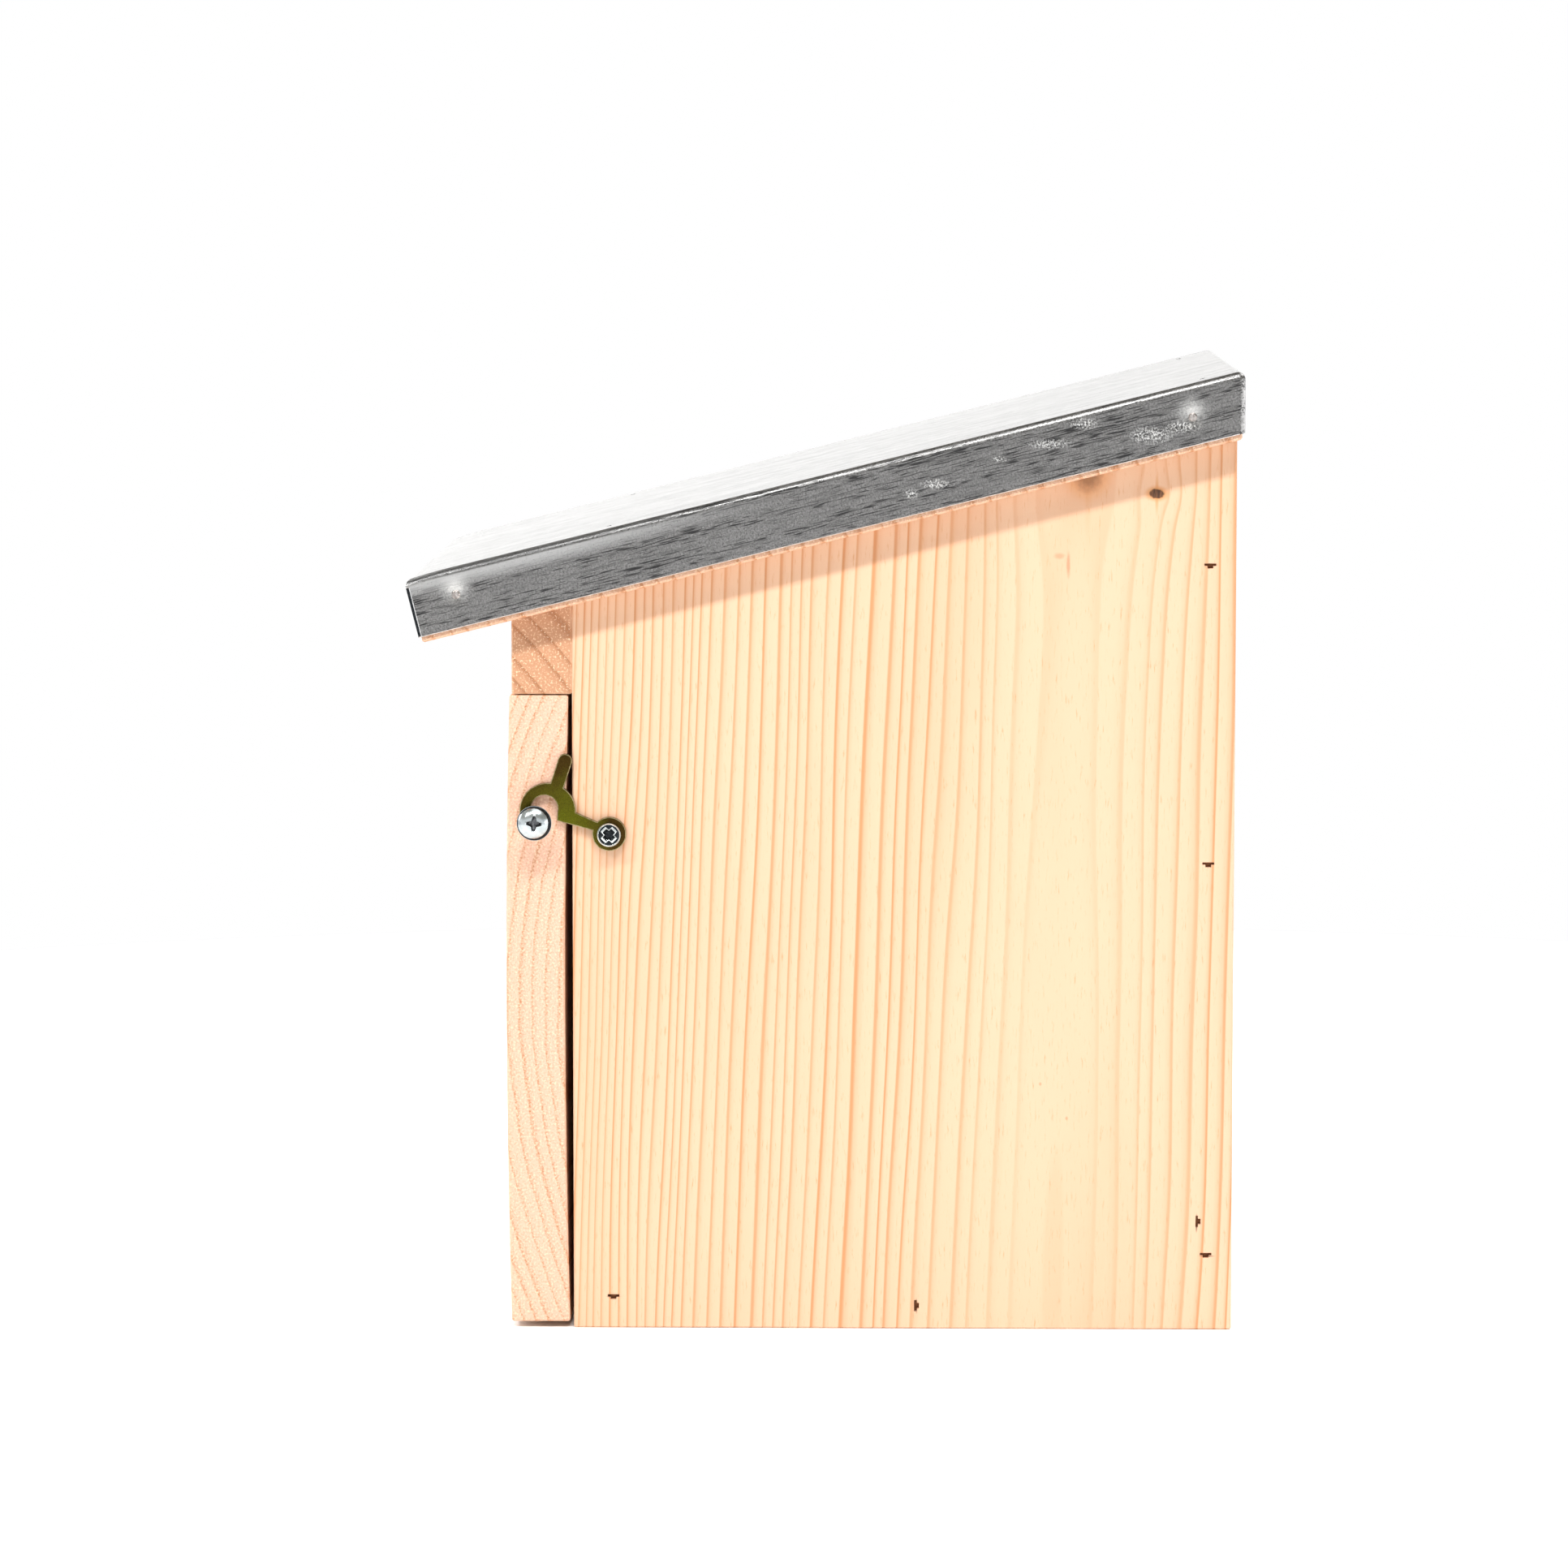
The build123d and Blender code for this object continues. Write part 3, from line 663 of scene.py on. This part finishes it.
def stand_in(name, made, node, slot, *materials):
    """Piece made from an edited mesh, which stands for a CAD node and moves with its body."""
    mesh = bpy.data.meshes.new(name)
    made.normal_update()
    made.to_mesh(mesh)
    made.free()
    if "custom_normal" in mesh.attributes:
        mesh.attributes.remove(mesh.attributes["custom_normal"])
    mesh.shade_smooth()
    mesh.set_sharp_from_angle(angle=sharp_angle)
    for material in materials:
        mesh.materials.append(material)
    piece = bpy.data.objects.new(name, mesh)
    scene.collection.objects.link(piece)
    flat_faces = piece.modifiers.new("flat_faces", "WEIGHTED_NORMAL")
    flat_faces.keep_sharp = True
    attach(piece, nodes[node]["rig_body"])
    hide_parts(node)


def slice_faces(made, faces, place, direction):
    """Cuts the faces given along a plane."""
    edges = {edge for face in faces for edge in face.edges}
    corners = {corner for face in faces for corner in face.verts}
    bmesh.ops.bisect_plane(
        made,
        geom=[*faces, *edges, *corners],
        dist=cut_gap,
        plane_co=place,
        plane_no=direction,
    )


def near_faces(made, side, center, halves):
    """Outer faces of a side flap that come near a point of it."""
    found = []
    for face in made.faces:
        if face.normal.x * side < facing_share:
            continue
        reached = True
        for axis, reach in zip((slope_along, slope_up), halves):
            spread = [axis.dot(corner.co - center) for corner in face.verts]
            reached = reached and min(spread) < reach and max(spread) > -reach
        if reached:
            found.append(face)
    return found


def refine(made, side, center, halves, step):
    """Cuts a grid into a side flap's outer face, round a point of it."""
    for direction, half in zip((slope_along, slope_up), halves):
        cuts = round(half / step)
        for index in range(-cuts, cuts + 1):
            near = near_faces(made, side, center, halves)
            slice_faces(made, near, center + direction * step * index, direction)


def raw_edges(made):
    """Bottom and front edges of the side flaps' outer faces."""
    found = []
    for edge in made.edges:
        if len(edge.link_faces) != 2:
            continue
        outer, under = sorted(edge.link_faces, key=lambda face: -abs(face.normal.x))
        faces_out = abs(outer.normal.x) > square_share and outer.normal.x * edge.verts[0].co.x > 0
        lowest = min(under.normal.dot(slope_up), under.normal.dot(slope_along))
        if faces_out and lowest < -square_share:
            found.append(edge)
    return found


# Places of the flap nails: the middle of each quarter of their node
flap_low, flap_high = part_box("roof_sheet")
flap_middle = (flap_low + flap_high) / 2
nail_places = []
for side in (1, -1):
    for end in (1, -1):
        corners = [
            corner.co
            for corner in nodes["roof_edge_nails"].data.vertices
            if corner.co.x * side > 0 and (corner.co.y - flap_middle.y) * end > 0
        ]
        place = sum(corners, Vector()) / len(corners)
        nail_places.append((side, Vector((side * flap_high.x, place.y, place.z))))
crinkle_places = [(Vector((flap_high.x, y, z)), halves) for (y, z), halves in crinkles]


def pressed_in(place):
    """How far dents and crinkles press in a point of a side flap's outer face."""
    inward = 0.0
    for side, nail in nail_places:
        if side * place.x > 0:
            inward += dent_depth * exp(-(((place - nail).length / dent_spread) ** 2))
    for middle, (half_length, half_height) in crinkle_places:
        gap = place - middle
        share = (slope_along.dot(gap) / half_length) ** 2 + (slope_up.dot(gap) / half_height) ** 2
        if place.x > 0 and share < 1:
            inward += crinkle_height * (1 - share) * noise.noise(place * crinkle_fineness)
    return inward


# Zinc with a raw cut edge on its side flaps and a droop at the front
sheet = welded("roof_sheet")
bmesh.ops.bevel(sheet, geom=raw_edges(sheet), offset=cut_edge, segments=1, affect="EDGES", material=1)
slope_start = min(slope_along.dot(corner.co) for corner in sheet.verts)
for index in range(1, droop_steps + 1):
    cut_place = slope_along * (slope_start + droop_length * index / droop_steps)
    slice_faces(sheet, sheet.faces, cut_place, slope_along)
slope_top = max(slope_up.dot(corner.co) for corner in sheet.verts)
for corner in sheet.verts:
    share = 1 - (slope_along.dot(corner.co) - slope_start) / droop_length
    if share > 0 and slope_up.dot(corner.co) > slope_top - droop_layer:
        corner.co -= slope_up * droop_depth * share**2

# Dents round its nails, crinkles in its near side flap and painted shade on the ends of its front flap
for side, place in nail_places:
    refine(sheet, side, place, (dent_half, dent_half), dent_step)
for place, halves in crinkle_places:
    refine(sheet, 1, place, halves, crinkle_step)
for corner in sheet.verts:
    if abs(abs(corner.co.x) - flap_high.x) <= touch_gap:
        corner.co.x -= pressed_in(corner.co) * copysign(1, corner.co.x)
for face in sheet.faces:
    depth = slope_along.dot(face.calc_center_median()) - slope_start
    if abs(face.normal.x) > facing_share and depth < front_flap:
        face.material_index = 2
zinc = zinc_sheet(
    nails=[place for side, place in nail_places],
    scuffs=crinkles,
    flap_half=flap_high.x / millimetre,
    sheen_end=slope_along.dot(flap_middle) / millimetre - sheen_lead,
    top_rise=slope_top / millimetre,
)
stand_in("zinc_roof", sheet, "roof_sheet", "zinc_sheet", zinc, cut_zinc, painted_shade)

# Flap nails, sunk into their dents
nails = welded("roof_edge_nails")
for corner in nails.verts:
    corner.co.x -= copysign(dent_depth, corner.co.x)
stand_in("flap_nails", nails, "roof_edge_nails", "zinc_nail", nail_zinc)

# Hook with rounded edges on its outer face, which carry a painted highlight
hook = welded("hook_plate")
hook_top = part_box("hook_plate")[1].x
rim = []
for edge in hook.edges:
    on_top = all(abs(corner.co.x - hook_top) < touch_gap for corner in edge.verts)
    if on_top and edge.calc_face_angle(0.0) > rim_angle:
        rim.append(edge)
bmesh.ops.bevel(hook, geom=rim, offset=hook_bevel, segments=2, profile=0.6, affect="EDGES", material=1)
stand_in("latch_hook", hook, "hook_plate", "yellow_passivated", hook_plating(), painted_edge_highlight)


def leaf_head(made, center):
    """Faces of a hinge screw's flat head, which looks along -X."""
    found = []
    for face in made.faces:
        gap = face.calc_center_median() - center
        if face.normal.x < -facing_share and gap.length < leaf_head_radius:
            found.append(face)
    return found


def cut_cross(made, center):
    """Sinks a cross recess into a hinge screw's head, with painted shade on its sunk faces."""
    directions = (Vector((0, 1, 1)).normalized(), Vector((0, 1, -1)).normalized())
    for direction in directions:
        for offset in (-leaf_recess_reach, -leaf_recess_half, leaf_recess_half, leaf_recess_reach):
            slice_faces(made, leaf_head(made, center), center + direction * offset, direction)
    arms = []
    for face in leaf_head(made, center):
        gap = face.calc_center_median() - center
        across, along = sorted(abs(direction.dot(gap)) for direction in directions)
        if across < leaf_recess_half and along < leaf_recess_reach:
            arms.append(face)
    sunk = bmesh.ops.extrude_face_region(made, geom=arms)["geom"]
    bmesh.ops.delete(made, geom=arms, context="FACES")
    for piece in sunk:
        if isinstance(piece, bmesh.types.BMVert):
            piece.co.x += leaf_recess_depth
        elif isinstance(piece, bmesh.types.BMFace):
            piece.material_index = 1


# Hinge screws, with their heads found from the lowest to the highest
leaf_nodes = {"frame_leaf_screws": "hinge_frame_screws", "door_leaf_screws": "hinge_door_screws"}
for name, node in leaf_nodes.items():
    screws = welded(node)
    head_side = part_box(node)[0].x + touch_gap
    heads = [corner.co.copy() for corner in screws.verts if corner.co.x < head_side]
    heads.sort(key=lambda place: place.z)
    count = len(heads) // leaf_screws
    for first in range(0, len(heads), count):
        cut_cross(screws, sum(heads[first : first + count], Vector()) / count)
    stand_in(name, screws, node, "bright_screw", leaf_steel, painted_recess_shade)


def recess_level(y, z, turn, reach, width, taper):
    """Place in a cross recess with tapering arms: above 0 inside, growing inwards, below 0 outside."""
    level = -1.0
    for quarter in (0, 1):
        angle = turn + quarter * pi / 2
        along = abs(y * cos(angle) + z * sin(angle))
        across = abs(z * cos(angle) - y * sin(angle))
        half_width = width * (1 - taper * min(along / reach, 1.0))
        level = max(level, min(1 - along / reach, 1 - across / half_width))
    return level


def smooth(value):
    """Smooth step between 0 and 1."""
    share = min(max(value, 0.0), 1.0)
    return share * share * (3 - 2 * share)


def pan_profile(share):
    """Height of a pan head over its base: a low dome, a groove and a thin rim."""
    dome_base, dome_rise, dome_edge, dome_power = 0.3, 0.56, 0.92, 3.2
    groove_level, rim_level, rim_start = 0.2, 0.24, 0.965
    dome = dome_base + dome_rise * (1 - (share / dome_edge) ** dome_power)
    return rim_level if share > rim_start else max(dome, groove_level)


def lipped_profile(share):
    """Height of a flat head over its base, with a raised round rim."""
    flat_level, rim_start, rim_turn = 0.8, 0.84, 0.9
    turn = min(max((share - rim_start) / (1 - rim_start), 0.0), rim_turn)
    return flat_level + (1 - flat_level) * sin(pi * turn)


def thread_radii(depth, left):
    """Radii round the shank at a depth under the head, drawn in to a point where little is left."""
    radii = []
    for index in range(screw_steps):
        turns = depth / thread_pitch + index / screw_steps
        ridge = abs(turns % 1 - 0.5) * 2
        radii.append(min(latch_shank - thread_depth * ridge, left))
    return radii


def screw_mesh(node, head_height, profile, recess):
    """Screw along X: a turned head with a cross recess, on a threaded shank with a point."""
    low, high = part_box(node)
    middle = (low + high) / 2
    head_radius = (high.y - low.y) / 2
    base = high.x - head_height
    made = bmesh.new()

    def head_level(y, z):
        share = min(hypot(y, z) / head_radius, 1.0)
        level = recess_level(y, z, *recess)
        lip = lip_height * max(0.0, 1 - abs(level) / lip_width)
        return base + head_height * (profile(share) - recess_sink * smooth(level / recess_wall)) + lip

    def ring(radii, level_at):
        corners = []
        for index, radius in enumerate(radii):
            angle = 2 * pi * index / screw_steps
            y = radius * cos(angle)
            z = radius * sin(angle)
            corners.append(made.verts.new((level_at(y, z), middle.y + y, middle.z + z)))
        return corners

    rings = []
    for index in range(1, head_steps + 1):
        rings.append(ring([head_radius * index / head_steps] * screw_steps, head_level))
    rings.append(ring([head_radius] * screw_steps, lambda y, z: base))
    step = thread_pitch / thread_steps
    for index in range(floor((base - low.x) / step)):
        depth = index * step
        rings.append(ring(thread_radii(depth, base - low.x - depth), lambda y, z: base - depth))
    top = made.verts.new((head_level(0, 0), middle.y, middle.z))
    tip = made.verts.new((low.x, middle.y, middle.z))
    for index in range(screw_steps):
        following = (index + 1) % screw_steps
        for inner, outer in zip(rings, rings[1:]):
            made.faces.new((inner[index], outer[index], outer[following], inner[following]))
        made.faces.new((top, rings[0][index], rings[0][following]))
        made.faces.new((tip, rings[-1][following], rings[-1][index]))
    bmesh.ops.recalc_face_normals(made, faces=made.faces)
    return made


def latch_screw(name, node, head_height, profile, recess, outline, painted_ring_shade, steel, recess_painted_shade):
    """Latch screw with painted shade on its head: a dark ring, and the recess within its bright
    outline.
    """
    low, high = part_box(node)
    middle = (low + high) / 2
    head_radius = (high.y - low.y) / 2
    base = high.x - head_height
    ring_start, ring_end, ring_shift = painted_ring_shade
    made = screw_mesh(node, head_height, profile, recess)
    for face in made.faces:
        place = face.calc_center_median() - middle
        if middle.x + place.x <= base:
            continue
        share = hypot(place.y, place.z) / head_radius
        shifted = hypot(place.y + ring_shift * head_radius, place.z) / head_radius
        level = recess_level(place.y, place.z, *recess)
        # The recess and the ring get painted shade
        if level > outline:
            face.material_index = 2
        elif level < -outline and ring_start < shifted and share < ring_end:
            face.material_index = 1
    stand_in(name, made, node, "bright_screw", steel, painted_shade, recess_painted_shade)


latch_screw(
    "keeper",
    "keeper_screw",
    head_height=keeper_head,
    profile=pan_profile,
    recess=keeper_recess,
    outline=0.1,
    painted_ring_shade=keeper_shade_ring,
    steel=keeper_steel,
    recess_painted_shade=painted_recess_shade,
)
latch_screw(
    "hook_pivot",
    "hook_pivot_screw",
    head_height=pivot_head,
    profile=lipped_profile,
    recess=pivot_recess,
    outline=0.24,
    painted_ring_shade=pivot_shade_ring,
    steel=bright,
    recess_painted_shade=painted_shade,
)

# Floor
bpy.ops.mesh.primitive_circle_add(radius=floor_radius, vertices=floor_sides, fill_type="NGON")
ground = bpy.context.object
ground.name = "floor"
ground.data.materials.append(Graph("pale_floor").finish(base_color=floor_color, roughness=0.8))

# Sky
world = bpy.data.worlds.new("studio")
scene.world = world
world.use_nodes = True
sky = world.node_tree
direction = sky.nodes.new("ShaderNodeTexCoord")
height = sky.nodes.new("ShaderNodeSeparateXYZ")
shade = sky.nodes.new("ShaderNodeValToRGB")
fill_ramp(shade, sky_stops)
sky.links.new(direction.outputs["Generated"], height.inputs[0])
sky.links.new(height.outputs["Z"], shade.inputs[0])
sky.links.new(shade.outputs[0], sky.nodes["Background"].inputs["Color"])
sky.nodes["Background"].inputs["Strength"].default_value = sky_strength


def softbox(name, place, target, size, power, along=None):
    """Area light that faces a point, its width level or along a given direction."""
    light = bpy.data.lights.new(name, "AREA")
    light.shape = "RECTANGLE"
    light.size, light.size_y = size
    light.energy = power
    lamp = bpy.data.objects.new(name, light)
    scene.collection.objects.link(lamp)
    lamp.location = place
    back = Vector(place) - Vector(target)
    wide = along or Vector((0, 0, 1)).cross(back).normalized()
    back = (back - wide * back.dot(wide)).normalized()
    lamp.rotation_euler = Matrix((wide, back.cross(wide), back)).transposed().to_euler()
    lamp.visible_camera = False


# Lamps
for name, (offset, length, power) in key_strips.items():
    place = key_middle + slope_along * offset
    softbox(name, place, key_target, (length, key_width), power, along=slope_along)
softbox("overhead", place=(0.75, 0.3, 2.2), target=(0, 0, 0), size=(1.6, 1.6), power=10)
softbox("backdrop", place=(-2.0, -0.1, 0.45), target=(0, 0, 0.25), size=(1.9, 0.85), power=8)
softbox("side", place=(-0.3, 1.6, 0.2), target=(-0.3, 0, 0.2), size=(3.2, 0.34), power=11)
softbox("front_fill", place=(-0.7, -1.9, 0.75), target=(0, -0.1, 0.12), size=(1.0, 0.8), power=13)
for side in (1, -1):
    softbox("back_fill", place=(-0.9, 1.2 * side, 1.6), target=(-0.15, 0, 0), size=(0.8, 0.8), power=16)

# Camera
camera_data = bpy.data.cameras.new("camera")
camera_data.lens = camera_lens
camera = bpy.data.objects.new("camera", camera_data)
scene.collection.objects.link(camera)
forward = Vector(
    (
        -cos(camera_yaw) * cos(camera_pitch),
        -sin(camera_yaw) * cos(camera_pitch),
        -sin(camera_pitch),
    )
)
camera.location = camera_place
camera.rotation_euler = forward.to_track_quat("-Z", "Y").to_euler()
scene.camera = camera
